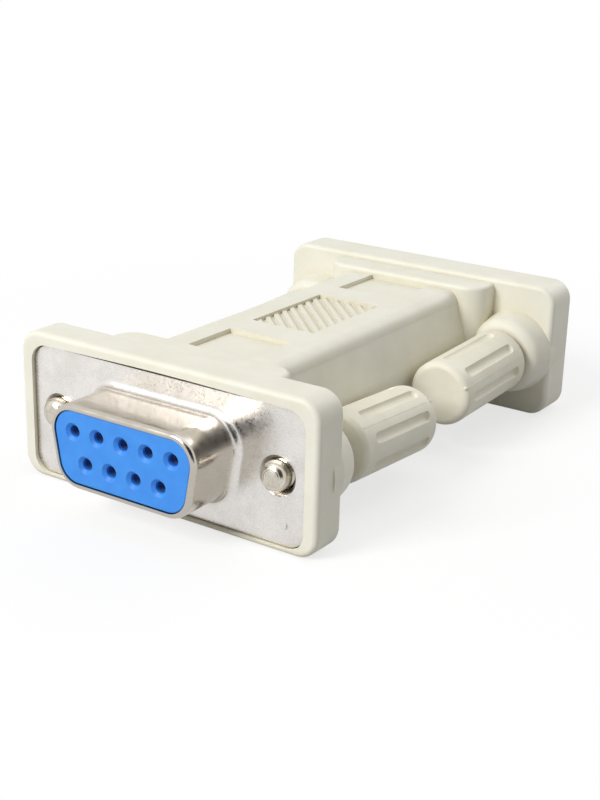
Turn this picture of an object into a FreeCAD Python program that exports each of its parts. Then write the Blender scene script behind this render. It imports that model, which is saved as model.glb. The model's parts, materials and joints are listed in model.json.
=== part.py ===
import FreeCAD, Part
import math
import os
import re
import Sketcher

# Null modem adapter: two nine-way D connectors back to back in one moulded housing.
# Millimetres. X runs to the right for someone facing the socket end, Y from the socket end to the
# pin end, Z up. The origin is the middle of the underside, on the surface that the adapter stands on.

SIZES = {
    # moulded housing
    "housing_length": 49.4,
    "flange_width": 33.7,
    "flange_height": 14.45,
    "front_flange_thickness": 3.9,
    "rear_flange_thickness": 4.6,
    "flange_corner_radius": 2.1,
    "flange_edge_radius": 0.5,
    "connector_axis_height": 6.85,
    "waist_width": 17.4,
    "crease_width": 14.4,
    "waist_drop": 1.1,
    "crease_depth": 1.4,
    "bevel_radius": 1.35,
    "waist_radius": 3.0,
    "shoulder_width": 19.6,
    "shoulder_length": 3.5,
    "shoulder_drop": 0.5,
    "shoulder_corner_radius": 2.2,
    "shoulder_edge_radius": 0.45,
    "boss_base_radius": 4.5,
    "boss_top_radius": 3.9,
    "boss_length": 3.0,
    "boss_dome_radius": 1.3,
    "root": 1.5,
    # grip recesses in the top and underside
    "grip_width": 7.2,
    "grip_depth": 0.45,
    "middle_grip_length": 12.0,
    "grip_band": 3.7,
    "rib_count": 13,
    "rib_pitch": 1.0,
    "rib_width": 0.5,
    "rib_height": 0.2,
    "rib_angle": 45.0,
    # spaces inside the housing
    "plate_recess": 0.4,
    "plate_gap": 0.1,
    "seat_bow": 0.3,
    "seat_bow_radius": 300.0,
    "tunnel_width": 13.2,
    "tunnel_height": 9.2,
    "can_gap": 0.1,
    "screw_bore_radius": 1.65,
    "neck_bore_radius": 1.28,
    "web_thickness": 1.2,
    # drawn steel shells
    "plate_width": 30.81,
    "plate_height": 12.55,
    "plate_corner_radius": 1.7,
    "plate_thickness": 0.5,
    "back_plate_thickness": 0.4,
    "screw_spacing": 24.99,
    "plate_hole_radius": 1.58,
    "plate_hole_chamfer": 0.3,
    "back_hole_radius": 1.8,
    "shell_wall": 0.5,
    "shell_reach": 5.8,
    "shell_base_radius": 0.8,
    "shell_rim_radius": 0.4,
    "side_angle": 10.0,
    "socket_shell_width": 16.33,
    "socket_shell_height": 7.9,
    "pin_shell_width": 17.92,
    "pin_shell_height": 9.36,
    "shell_corner_radius": 2.6,
    "can_width": 18.2,
    "can_height": 10.3,
    "can_corner_radius": 1.2,
    "can_depth": 5.5,
    # insulators and contacts
    "insulator_gap": 0.05,
    "nose_chamfer": 0.1,
    "socket_face": 5.7,
    "pin_face": 0.3,
    "insulator_flange_thickness": 1.5,
    "rear_insulator_thickness": 3.9,
    "insulator_corner_radius": 0.8,
    "contact_pitch": 2.77,
    "row_spacing": 2.84,
    "face_hole_radius": 0.55,
    "face_hole_chamfer": 0.3,
    "face_wall": 0.6,
    "contact_radius": 0.8,
    "contact_gap": 0.03,
    "collar_radius": 1.05,
    "collar_thickness": 0.8,
    "socket_bore_radius": 0.53,
    "socket_bore_depth": 5.0,
    "pin_radius": 0.51,
    "pin_reach": 5.3,
    "pin_shank_start": 0.6,
    "tail_end": 8.0,
    # wires between the two connectors
    "wire_radius": 0.5,
    "wire_lead": 4.0,
    "lane_high": 2.7,
    "lane_top": 4.0,
    "lane_slope": 4.5,
    "jumper_radius": 0.25,
    "jumper_setback": 0.8,
    # captive thumbscrews
    "thread_radius": 1.42,
    "tip_flat_radius": 0.55,
    "tip_length": 1.15,
    "tip_round": 0.3,
    "tip_shoulder_round": 0.9,
    "neck_radius": 0.95,
    "neck_length": 4.85,
    "screw_reach": 10.3,
    "stem_length": 8.0,
    "stem_gap": 0.05,
    "stem_end_gap": 0.1,
    "knob_radius": 3.35,
    "knob_length": 13.0,
    "knob_end_radius": 0.7,
    "knob_base_radius": 0.5,
    "front_knob_gap": 2.6,
    "rear_knob_gap": 0.5,
    "front_sag": 3.6,
    "rear_sag": 1.6,
    "front_tip_lift": 0.12,
    "rear_tip_lift": 0.08,
    "front_knob_turn": 22.5,
    "rear_knob_turn": 0.0,
    "flute_count": 8,
    "flute_cutter_radius": 0.62,
    "flute_depth": 0.35,
    "flute_base_margin": 1.7,
    "flute_end_margin": 1.3,
}

ALIAS = re.compile(r"\b(" + "|".join(SIZES) + r")\b")

# Derived places, written with the sizes above.
HALF_LENGTH = "housing_length / 2"
MID_HEIGHT = "flange_height / 2"
PLATE_FACE = "(housing_length / 2 - plate_recess)"
BODY_TOP = "(flange_height - waist_drop)"
SCREW_X = "screw_spacing / 2"
PLATE_STACK = "(plate_thickness + back_plate_thickness)"
INSULATOR_WIDTH = "(can_width - 2 * shell_wall - 2 * insulator_gap)"
INSULATOR_HEIGHT = "(can_height - 2 * shell_wall - 2 * insulator_gap)"
SPLIT = "(plate_thickness + insulator_flange_thickness)"

PARTS = "parts"
ALONG_X = FreeCAD.Vector(1, 0, 0)
ALONG_Y = FreeCAD.Vector(0, 1, 0)
UP = FreeCAD.Vector(0, 0, 1)
NO_TURN = FreeCAD.Rotation()
HALF_TURN = FreeCAD.Rotation(UP, 180)

document = FreeCAD.newDocument("NullModemAdapter")
sheet = document.addObject("Spreadsheet::Sheet", "Sizes")


def fill_sheet():
    """One row for each driving size: its value in column A, bound to its alias."""
    for row, (alias, value) in enumerate(SIZES.items(), start=1):
        sheet.set("A%d" % row, str(value))
        sheet.setAlias("A%d" % row, alias)
        sheet.set("B%d" % row, alias.replace("_", " "))
    document.recompute()


def bound(text):
    """An expression in which each size is looked up in the sheet."""
    return ALIAS.sub(r"Sizes.\1", str(text))


def number(text):
    """The present value of an expression."""
    value = sheet.evalExpression(bound(text))
    return float(getattr(value, "Value", value))


def bind(target, path, text):
    """Tie one property of an object to an expression."""
    target.setExpression(path, bound(text))


# Helpers for bodies, sketches and features

def new_body(label):
    """An empty body whose label names the file that it is written to."""
    body = document.addObject("PartDesign::Body", label)
    body.Label = label
    return body


def place(target, x_place="0", y_place="0", z_place="0", turned=False, lean=NO_TURN):
    """Put an object at bound coordinates, leant, and turned half round about Z if it faces the other way."""
    facing = HALF_TURN if turned else NO_TURN
    target.Placement = FreeCAD.Placement(FreeCAD.Vector(0, 0, 0), facing * lean)
    bind(target, "Placement.Base.x", x_place)
    bind(target, "Placement.Base.y", y_place)
    bind(target, "Placement.Base.z", z_place)


def sketch_on(body, name, role, shift=("0", "0", "0")):
    """A sketch on one of the body's own origin planes, moved by a bound shift in the plane's axes."""
    plane = [item for item in body.Origin.OriginFeatures if item.Role == role][0]
    sketch = body.newObject("Sketcher::SketchObject", name)
    sketch.AttachmentSupport = (plane, [""])
    sketch.MapMode = "FlatFace"
    for axis, text in zip("xyz", shift):
        bind(sketch, "AttachmentOffset.Base." + axis, text)
    return sketch


def section(body, name, y_place, z_place="0"):
    """A sketch across the adapter at a bound place along Y: its axes are X and Z."""
    return sketch_on(body, name, "XZ_Plane", ("0", z_place, "-(%s)" % y_place))


def outline(sketch, corners, radii=None):
    """A closed outline: bound sharp corners joined by lines, rounded where a radius is given.

    radii holds one expression or None for each corner. A rounded corner's sharp point stays as
    construction geometry, both lines pass through it and the arc is tangent to both.
    """
    radii = radii or [None] * len(corners)
    points = [FreeCAD.Vector(number(across), number(along), 0) for across, along in corners]
    count = len(points)
    arcs = [corner_arc(points[index - 1], points[index], points[(index + 1) % count], radii[index])
            for index in range(count)]
    first = sketch.GeometryCount
    for index in range(count):
        start = arcs[index]["leave"]
        finish = arcs[(index + 1) % count]["arrive"]
        sketch.addGeometry(Part.LineSegment(start, finish), False)
    for index, (across, along) in enumerate(corners):
        line_in = first + (index - 1) % count
        line_out = first + index
        if radii[index] is None:
            sketch.addConstraint(Sketcher.Constraint("Coincident", line_in, 2, line_out, 1))
            tip = (line_out, 1)
        else:
            tip = round_corner(sketch, arcs[index], points[index], line_in, line_out, radii[index])
        hold(sketch, "DistanceX", tip, points[index].x, across)
        hold(sketch, "DistanceY", tip, points[index].y, along)


def corner_arc(before, corner, after, radius):
    """Where an outline arrives at and leaves a corner, and the arc between if the corner is round."""
    if radius is None:
        return {"arrive": corner, "leave": corner}
    inward = (before - corner).normalize()
    outward = (after - corner).normalize()
    half = inward.getAngle(outward) / 2
    size = number(radius)
    centre = corner + (inward + outward).normalize() * (size / math.sin(half))
    arrive = corner + inward * (size / math.tan(half))
    leave = corner + outward * (size / math.tan(half))
    left_turn = inward.cross(outward).z < 0
    start, finish = (arrive, leave) if left_turn else (leave, arrive)
    angles = [math.atan2(point.y - centre.y, point.x - centre.x) for point in (start, finish)]
    arc = Part.ArcOfCircle(Part.Circle(centre, UP, size), *angles)
    return {"arrive": arrive, "leave": leave, "arc": arc, "first_is_start": left_turn}


def round_corner(sketch, found, corner, line_in, line_out, radius):
    """Add a corner's arc and its sharp point, tied to the two lines, and return the point."""
    arc = sketch.addGeometry(found["arc"], False)
    tip = sketch.addGeometry(Part.Point(corner), True)
    arrive, leave = (1, 2) if found["first_is_start"] else (2, 1)
    sketch.addConstraint(Sketcher.Constraint("Tangent", line_in, 2, arc, arrive))
    sketch.addConstraint(Sketcher.Constraint("Tangent", arc, leave, line_out, 1))
    sketch.addConstraint(Sketcher.Constraint("PointOnObject", tip, 1, line_in))
    sketch.addConstraint(Sketcher.Constraint("PointOnObject", tip, 1, line_out))
    hold(sketch, "Radius", (arc,), number(radius), radius)
    return tip, 1


def hold(sketch, kind, item, value, text):
    """One dimension of a sketch, bound to its expression."""
    place_in_list = sketch.addConstraint(Sketcher.Constraint(kind, *item, value))
    bind(sketch, "Constraints[%d]" % place_in_list, text)


def circle(sketch, across, along, radius):
    """A circle whose centre and radius are bound."""
    centre = FreeCAD.Vector(number(across), number(along), 0)
    item = sketch.addGeometry(Part.Circle(centre, UP, number(radius)), False)
    hold(sketch, "DistanceX", (item, 3), centre.x, across)
    hold(sketch, "DistanceY", (item, 3), centre.y, along)
    hold(sketch, "Radius", (item,), number(radius), radius)


def box_corners(width, height, middle="0"):
    """The corners of a rectangle centred on the sketch's upright axis."""
    side = "(%s) / 2" % width
    low = "%s - (%s) / 2" % (middle, height)
    high = "%s + (%s) / 2" % (middle, height)
    return [("-" + side, low), (side, low), (side, high), ("-" + side, high)]


def d_corners(width, height, radius):
    """The sharp corners of a D outline whose overall width is reached on its rounded upper corners."""
    lean = "tan(side_angle)"
    top = "((%s) / 2 + (%s) * (%s + 1 / cos(side_angle) - 1))" % (width, radius, lean)
    bottom = "(%s - (%s) * %s)" % (top, height, lean)
    half = "(%s) / 2" % height
    return [("-" + bottom, "-" + half), (bottom, "-" + half), (top, half), ("-" + top, half)]


def confirm(feature):
    """Work a feature out and stop if it fails."""
    document.recompute()
    if "Invalid" in feature.State or feature.Shape.isNull() or not feature.Shape.isValid():
        raise ValueError("%s in %s fails" % (feature.Label, feature.getParent().Label))


def extrude(body, kind, name, sketch, length, rearward):
    """A pad or pocket of a section, towards the pin end or towards the socket end."""
    feature = body.newObject("PartDesign::" + kind, name)
    feature.Profile = sketch
    bind(feature, "Length", length)
    feature.Reversed = rearward if kind == "Pad" else not rearward
    confirm(feature)
    return feature


def pad(body, name, sketch, length, rearward=True):
    """Material along Y."""
    return extrude(body, "Pad", name, sketch, length, rearward)


def pocket(body, name, sketch, length, rearward=True):
    """A cut along Y, which has to take material away."""
    before = body.Shape.Volume
    feature = extrude(body, "Pocket", name, sketch, length, rearward)
    if body.Shape.Volume >= before:
        raise ValueError(name + " cuts nothing")
    return feature


def turn(body, kind, name, sketch):
    """A revolved solid or groove about the sketch's upright axis."""
    feature = body.newObject("PartDesign::" + kind, name)
    feature.Profile = sketch
    feature.ReferenceAxis = (sketch, ["V_Axis"])
    feature.Angle = 360
    confirm(feature)
    return feature


def dress(body, kind, name, chosen, size):
    """A fillet or chamfer on each edge for which the test holds."""
    base = body.Tip
    names = ["Edge%d" % place for place, edge in enumerate(base.Shape.Edges, start=1) if chosen(edge)]
    if not names:
        raise ValueError(name + " finds no edge")
    feature = body.newObject("PartDesign::" + kind, name)
    feature.Base = (base, names)
    bind(feature, "Radius" if kind == "Fillet" else "Size", size)
    confirm(feature)
    return feature


def near(first, second, slack=0.01):
    """Whether two measures agree."""
    return abs(first - second) < slack


def lies_at(edge, axis, value):
    """Whether a whole edge lies in the plane where one coordinate has the value."""
    box = edge.BoundBox
    low = getattr(box, axis.upper() + "Min")
    high = getattr(box, axis.upper() + "Max")
    return near(low, value) and near(high, value)


def middle_of(edge):
    """The centre of an edge's box."""
    return edge.BoundBox.Center


def contact_places():
    """The nine contact numbers with their bound places across and up from the connector's axis."""
    upper = [(place + 1, "(%d) * contact_pitch" % (2 - place), "row_spacing / 2") for place in range(5)]
    lower = [(place + 6, "(%s) * contact_pitch" % (1.5 - place), "-row_spacing / 2") for place in range(4)]
    return upper + lower


# Moulded housing

def flange(body, end, thickness):
    """One end flange: a rounded plate, soft all round its two faces. end is -1 in front, 1 behind."""
    sketch = section(body, "FlangeSection", "(%d) * %s" % (end, HALF_LENGTH))
    outline(sketch, box_corners("flange_width", "flange_height", MID_HEIGHT), ["flange_corner_radius"] * 4)
    pad(body, "Flange", sketch, thickness, rearward=end < 0)
    faces = [end * number(HALF_LENGTH), end * number("%s - %s" % (HALF_LENGTH, thickness))]

    def rim(edge):
        return any(lies_at(edge, "y", face) for face in faces)

    dress(body, "Fillet", "FlangeRims", rim, "flange_edge_radius")


def waist(body):
    """The middle: flat top and underside with round shoulders, creased sides that bulge at half height."""
    sketch = section(body, "WaistSection", "front_flange_thickness - " + HALF_LENGTH)
    crease = "crease_width / 2"
    low_crease = "(waist_drop + crease_depth)"
    high_crease = "(flange_height - waist_drop - crease_depth)"
    right = [(crease, "waist_drop"), (crease, low_crease), ("waist_width / 2", MID_HEIGHT),
             (crease, high_crease), (crease, BODY_TOP)]
    left = [("-" + across, up) for across, up in reversed(right)]
    radii = ["bevel_radius", None, "waist_radius", None, "bevel_radius"]
    outline(sketch, right + left, radii + radii)
    pad(body, "Waist", sketch, "housing_length - front_flange_thickness - rear_flange_thickness")


def shoulder(body, end, thickness):
    """The block behind a flange that covers the connector's can, round at its corners."""
    sketch = sketch_on(body, "ShoulderPlan", "XY_Plane", ("0", "0", "shoulder_drop"))
    near_face = "(%d) * (%s - %s + root)" % (end, HALF_LENGTH, thickness)
    far_face = "(%d) * (%s - %s - shoulder_length)" % (end, HALF_LENGTH, thickness)
    side = "shoulder_width / 2"
    round_end = "shoulder_corner_radius"
    outline(sketch, [("-" + side, near_face), (side, near_face), (side, far_face), ("-" + side, far_face)],
            [None, None, round_end, round_end])
    block = body.newObject("PartDesign::Pad", "Shoulder")
    block.Profile = sketch
    bind(block, "Length", "flange_height - 2 * shoulder_drop")
    confirm(block)
    levels = [number("shoulder_drop"), number("flange_height - shoulder_drop")]
    span = sorted((end * number("%s - %s" % (HALF_LENGTH, thickness)), number(far_face)))

    def brim(edge):
        middle = middle_of(edge).y
        inside = span[0] - 0.01 < middle < span[1] + 0.01 and not near(middle, span[0 if end < 0 else 1])
        return inside and any(lies_at(edge, "z", level) for level in levels)

    dress(body, "Fillet", "ShoulderBrims", brim, "shoulder_edge_radius")


def boss(body, end, side, thickness):
    """The domed collar round one screw on a flange's inner face."""
    face = "(%d) * (%s - %s)" % (end, HALF_LENGTH, thickness)
    sketch = sketch_on(body, "BossProfile", "XY_Plane",
                       ("(%d) * %s" % (side, SCREW_X), face, "connector_axis_height"))
    base = "(%d) * root" % end
    top = "(%d) * boss_length" % -end
    outline(sketch, [("0", base), ("boss_base_radius", base), ("boss_base_radius", "0"),
                     ("boss_top_radius", top), ("0", top)], [None, None, None, "boss_dome_radius", None])
    turn(body, "Revolution", "Boss", sketch)


def connector_space(body, end, thickness):
    """The seats for the plates and the can, and the two stepped screw bores, at one end.

    The plates' seat is crowned at the top, where the thin lip bows up off the plate.
    """
    rearward = end < 0
    mouth = "(%d) * %s" % (end, HALF_LENGTH)
    axis = "connector_axis_height"
    seat = section(body, "PlateSeatSection", mouth, axis)
    corner = "plate_corner_radius + plate_gap"
    corners = box_corners("plate_width + 2 * plate_gap", "plate_height + 2 * plate_gap")
    crown = ("0", "plate_height / 2 + plate_gap + seat_bow")
    outline(seat, corners[:3] + [crown] + corners[3:], [corner] * 3 + ["seat_bow_radius", corner])
    pocket(body, "PlateSeat", seat, "plate_recess + " + PLATE_STACK, rearward)
    can = section(body, "CanSeatSection", mouth, axis)
    corner = "can_corner_radius + can_gap"
    outline(can, box_corners("can_width + 2 * can_gap", "can_height + 2 * can_gap"), [corner] * 4)
    pocket(body, "CanSeat", can, "plate_recess + plate_thickness + can_depth + can_gap", rearward)
    through = "(%s + boss_length)" % thickness
    for side in (-1, 1):
        across = "(%d) * %s" % (side, SCREW_X)
        bore = section(body, "ScrewBoreSection", mouth, axis)
        circle(bore, across, "0", "screw_bore_radius")
        pocket(body, "ScrewBore", bore, through + " - web_thickness", rearward)
        neck = section(body, "NeckBoreSection", mouth, axis)
        circle(neck, across, "0", "neck_bore_radius")
        pocket(body, "NeckBore", neck, through, rearward)


def tunnel(body):
    """The passage for the wires from one can seat to the other."""
    sketch = section(body, "TunnelSection", "-" + HALF_LENGTH, "connector_axis_height")
    outline(sketch, box_corners("tunnel_width", "tunnel_height"))
    pocket(body, "Tunnel", sketch, "housing_length")


def grip_box(body, name, start, end, upper):
    """A shallow rectangular recess in the top or the underside between two places along Y."""
    level = BODY_TOP if upper else "waist_drop"
    sketch = sketch_on(body, name + "Outline", "XY_Plane", ("0", "0", level))
    side = "grip_width / 2"
    outline(sketch, [("-" + side, start), (side, start), (side, end), ("-" + side, end)])
    before = body.Shape.Volume
    feature = body.newObject("PartDesign::Pocket", name)
    feature.Profile = sketch
    bind(feature, "Length", "grip_depth")
    feature.Reversed = not upper
    confirm(feature)
    if feature.Shape.Volume >= before:
        raise ValueError(name + " cuts nothing")


def grip_ribs(body, upper):
    """The slanted ribs on the floor of the middle recess: one bar, repeated along Y."""
    level = BODY_TOP + " - grip_depth" if upper else "waist_drop + grip_depth"
    sketch = sketch_on(body, "RibOutline", "XY_Plane", ("0", "0", level))
    run = "(grip_width / 2 + 0.6)"
    rise = run + " * tan(rib_angle)"
    wide = "(rib_width / cos(rib_angle) / 2)"
    first = "((rib_count - 1) / 2 * rib_pitch / cos(rib_angle))"
    outline(sketch, [("-" + run, "-%s + %s - %s" % (first, rise, wide)),
                     (run, "-%s - %s - %s" % (first, rise, wide)),
                     (run, "-%s - %s + %s" % (first, rise, wide)),
                     ("-" + run, "-%s + %s + %s" % (first, rise, wide))])
    rib = body.newObject("PartDesign::Pad", "Rib")
    rib.Profile = sketch
    bind(rib, "Length", "rib_height")
    rib.Reversed = not upper
    confirm(rib)
    ribs = body.newObject("PartDesign::LinearPattern", "Ribs")
    ribs.Originals = [rib]
    ribs.Direction = (sketch, ["V_Axis"])
    bind(ribs, "Length", "2 * " + first)
    bind(ribs, "Occurrences", "rib_count")
    body.Tip = ribs
    confirm(ribs)


def grips(body, upper):
    """Three recesses in line with ribs in the middle one."""
    half = "middle_grip_length / 2"
    inner = "(%s + grip_band)" % half
    front_end = "(%s - front_flange_thickness - shoulder_length)" % HALF_LENGTH
    rear_end = "(%s - rear_flange_thickness - shoulder_length)" % HALF_LENGTH
    grip_box(body, "MiddleGrip", "-" + half, half, upper)
    grip_ribs(body, upper)
    grip_box(body, "FrontGrip", "-" + front_end, "-" + inner, upper)
    grip_box(body, "RearGrip", inner, rear_end, upper)


def housing():
    """The one-piece moulding that holds both connectors and the four screws."""
    ends = ((-1, "front_flange_thickness"), (1, "rear_flange_thickness"))
    body = new_body("housing")
    for end, thickness in ends:
        flange(body, end, thickness)
    waist(body)
    for upper in (True, False):
        grips(body, upper)
    for end, thickness in ends:
        for side in (-1, 1):
            boss(body, end, side, thickness)
        shoulder(body, end, thickness)
    for end, thickness in ends:
        connector_space(body, end, thickness)
    tunnel(body)


# Connectors: in their own frame the plate's front face is at Y = 0 and the mating side at negative Y

def place_connector(target, rear, across="0", up="0"):
    """Seat a connector's piece at the socket end, or turned half round at the pin end."""
    if rear:
        place(target, "-(%s)" % across, PLATE_FACE, "connector_axis_height + " + up, turned=True)
    else:
        place(target, across, "-" + PLATE_FACE, "connector_axis_height + " + up)


def mating_shell(label, width, height, rear):
    """The front plate and the D-shaped shell drawn out of it."""
    body = new_body(label)
    plate = section(body, "PlateSection", "0")
    outline(plate, box_corners("plate_width", "plate_height"), ["plate_corner_radius"] * 4)
    pad(body, "Plate", plate, "plate_thickness")
    nose = section(body, "NoseSection", "0")
    corner = "shell_corner_radius"
    outline(nose, d_corners(width, height, corner), [corner] * 4)
    pad(body, "Nose", nose, "shell_reach", rearward=False)
    reach = number("shell_reach")
    limits = (number(width) / 2 + 0.05, number(height) / 2 + 0.05)

    def on_nose(edge, level):
        box = edge.BoundBox
        return lies_at(edge, "y", level) and max(abs(box.XMin), abs(box.XMax)) < limits[0] and max(
            abs(box.ZMin), abs(box.ZMax)) < limits[1]

    dress(body, "Fillet", "NoseBase", lambda edge: on_nose(edge, 0), "shell_base_radius")
    dress(body, "Fillet", "NoseRim", lambda edge: on_nose(edge, -reach), "shell_rim_radius")
    hollow = section(body, "HollowSection", "-shell_reach")
    corner = "(shell_corner_radius - shell_wall)"
    inner = d_corners(width + " - 2 * shell_wall", height + " - 2 * shell_wall", corner)
    outline(hollow, inner, [corner] * 4)
    pocket(body, "Hollow", hollow, "shell_reach + plate_thickness")
    holes = section(body, "ScrewHoleSection", "0")
    for side in (-1, 1):
        circle(holes, "(%d) * %s" % (side, SCREW_X), "0", "plate_hole_radius")
    pocket(body, "ScrewHoles", holes, "plate_thickness")
    hole_size = number("2 * plate_hole_radius")

    def hole_mouth(edge):
        return lies_at(edge, "y", 0) and near(edge.BoundBox.XLength, hole_size)

    dress(body, "Chamfer", "ScrewHoleMouths", hole_mouth, "plate_hole_chamfer")
    place_connector(body, rear)


def rear_can(label, rear):
    """The plate and rectangular can that close the back of a connector."""
    body = new_body(label)
    start = "plate_thickness"
    plate = section(body, "PlateSection", start)
    outline(plate, box_corners("plate_width", "plate_height"), ["plate_corner_radius"] * 4)
    pad(body, "Plate", plate, "back_plate_thickness")
    can = section(body, "CanSection", start)
    outline(can, box_corners("can_width", "can_height"), ["can_corner_radius"] * 4)
    pad(body, "Can", can, "can_depth")
    hollow = section(body, "HollowSection", start)
    outline(hollow, box_corners("can_width - 2 * shell_wall", "can_height - 2 * shell_wall"),
            ["can_corner_radius - shell_wall"] * 4)
    pocket(body, "Hollow", hollow, "can_depth")
    holes = section(body, "ScrewHoleSection", start)
    for side in (-1, 1):
        circle(holes, "(%d) * %s" % (side, SCREW_X), "0", "back_hole_radius")
    pocket(body, "ScrewHoles", holes, "back_plate_thickness")
    place_connector(body, rear)


def contact_holes(body, name, start, radius, length):
    """Nine round holes on the contact pattern."""
    sketch = section(body, name + "Section", start)
    for _, across, up in contact_places():
        circle(sketch, across, up, radius)
    pocket(body, name, sketch, length)


def front_insulator(label, width, height, face, inner_start, rear):
    """The moulding that fills the shell: a D nose with countersunk holes and a flange behind it."""
    body = new_body(label)
    clear = "2 * (shell_wall + insulator_gap)"
    corner = "(shell_corner_radius - shell_wall - insulator_gap)"
    nose = section(body, "NoseSection", "-" + face)
    outline(nose, d_corners("%s - %s" % (width, clear), "%s - %s" % (height, clear), corner), [corner] * 4)
    pad(body, "Nose", nose, face + " + plate_thickness")
    back = section(body, "FlangeSection", "plate_thickness")
    outline(back, box_corners(INSULATOR_WIDTH, INSULATOR_HEIGHT), ["insulator_corner_radius"] * 4)
    pad(body, "Flange", back, "insulator_flange_thickness")
    contact_holes(body, "FaceHoles", "-" + face, "face_hole_radius", "%s + %s" % (face, SPLIT))
    contact_holes(body, "ContactBores", inner_start, "contact_radius + contact_gap",
                  "%s - %s" % (SPLIT, inner_start))
    level = -number(face)

    def nose_edge(edge):
        return lies_at(edge, "y", level) and not edge.isClosed()

    def hole_mouth(edge):
        return lies_at(edge, "y", level) and edge.isClosed()

    dress(body, "Chamfer", "NoseEdge", nose_edge, "nose_chamfer")
    dress(body, "Chamfer", "HoleMouths", hole_mouth, "face_hole_chamfer")
    place_connector(body, rear)


def rear_insulator(label, rear):
    """The block behind the contacts' collars, flush with the flange of the front one."""
    body = new_body(label)
    block = section(body, "BlockSection", SPLIT)
    outline(block, box_corners(INSULATOR_WIDTH, INSULATOR_HEIGHT), ["insulator_corner_radius"] * 4)
    pad(body, "Block", block, "rear_insulator_thickness")
    contact_holes(body, "TailHoles", SPLIT, "contact_radius + contact_gap", "rear_insulator_thickness")
    contact_holes(body, "CollarSeats", SPLIT, "collar_radius + contact_gap", "collar_thickness")
    place_connector(body, rear)


def socket_contact(contact, across, up):
    """A turned sleeve: open mouth, collar and filled solder tail."""
    body = new_body("socket_contact_%d" % contact)
    mouth = "(face_wall - socket_face)"
    sketch = sketch_on(body, "Profile", "XY_Plane")
    outline(sketch, [("socket_bore_radius", mouth), ("contact_radius", mouth), ("contact_radius", SPLIT),
                     ("collar_radius", SPLIT), ("collar_radius", SPLIT + " + collar_thickness"),
                     ("contact_radius", SPLIT + " + collar_thickness"), ("contact_radius", "tail_end"),
                     ("0", "tail_end"), ("0", mouth + " + socket_bore_depth"),
                     ("socket_bore_radius", mouth + " + socket_bore_depth")])
    turn(body, "Revolution", "Turned", sketch)
    place_connector(body, False, across, up)


def pin_contact(contact, across, up):
    """A turned pin: round tip, thicker shank, collar and filled solder tail."""
    body = new_body("pin_contact_%d" % contact)
    sketch = sketch_on(body, "Profile", "XY_Plane")
    profile = [("0", "-pin_reach"), ("pin_radius", "-pin_reach"), ("pin_radius", "pin_shank_start"),
               ("contact_radius", "pin_shank_start"), ("contact_radius", SPLIT), ("collar_radius", SPLIT),
               ("collar_radius", SPLIT + " + collar_thickness"),
               ("contact_radius", SPLIT + " + collar_thickness"), ("contact_radius", "tail_end"),
               ("0", "tail_end")]
    outline(sketch, profile, [None, "pin_radius * 0.8"] + [None] * (len(profile) - 2))
    turn(body, "Revolution", "Turned", sketch)
    place_connector(body, True, "-(%s)" % across, up)


def connectors():
    """The socket connector in front and the pin connector behind."""
    socket_size = ("socket_shell_width", "socket_shell_height")
    pin_size = ("pin_shell_width", "pin_shell_height")
    mating_shell("socket_shell", *socket_size, rear=False)
    mating_shell("pin_shell", *pin_size, rear=True)
    rear_can("socket_rear_can", rear=False)
    rear_can("pin_rear_can", rear=True)
    bore_start = "(face_wall - socket_face)"
    front_insulator("socket_front_insulator", *socket_size, "socket_face", bore_start, rear=False)
    front_insulator("pin_front_insulator", *pin_size, "pin_face", "pin_shank_start", rear=True)
    rear_insulator("socket_rear_insulator", rear=False)
    rear_insulator("pin_rear_insulator", rear=True)
    for contact, across, up in contact_places():
        socket_contact(contact, across, up)
        pin_contact(contact, across, up)


# Wires

def tube(label, points, radius):
    """A wire along straight runs joined by tangent arcs as large as the runs allow."""
    edges = []
    start = points[0]
    for before, corner, after in zip(points, points[1:], points[2:]):
        inward = (before - corner).normalize()
        outward = (after - corner).normalize()
        turn_angle = math.pi - inward.getAngle(outward)
        shorter = min((before - corner).Length, (after - corner).Length)
        reach = 0.45 * shorter
        bend = reach / math.tan(turn_angle / 2)
        middle = corner + (inward + outward).normalize() * (
            bend / math.cos(turn_angle / 2) - bend)
        first = corner + inward * reach
        last = corner + outward * reach
        edges.append(Part.LineSegment(start, first).toShape())
        edges.append(Part.Arc(first, middle, last).toShape())
        start = last
    edges.append(Part.LineSegment(start, points[-1]).toShape())
    path = Part.Wire(edges)
    ring = Part.Wire(Part.Circle(points[0], points[1] - points[0], radius).toShape())
    solid = path.makePipeShell([ring], True, True)
    wire = document.addObject("Part::Feature", label)
    wire.Label = label
    wire.Shape = solid
    expected = math.pi * radius ** 2 * path.Length
    if abs(solid.Volume / expected - 1) > 0.02:
        raise ValueError(label + " has the wrong volume")


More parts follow.
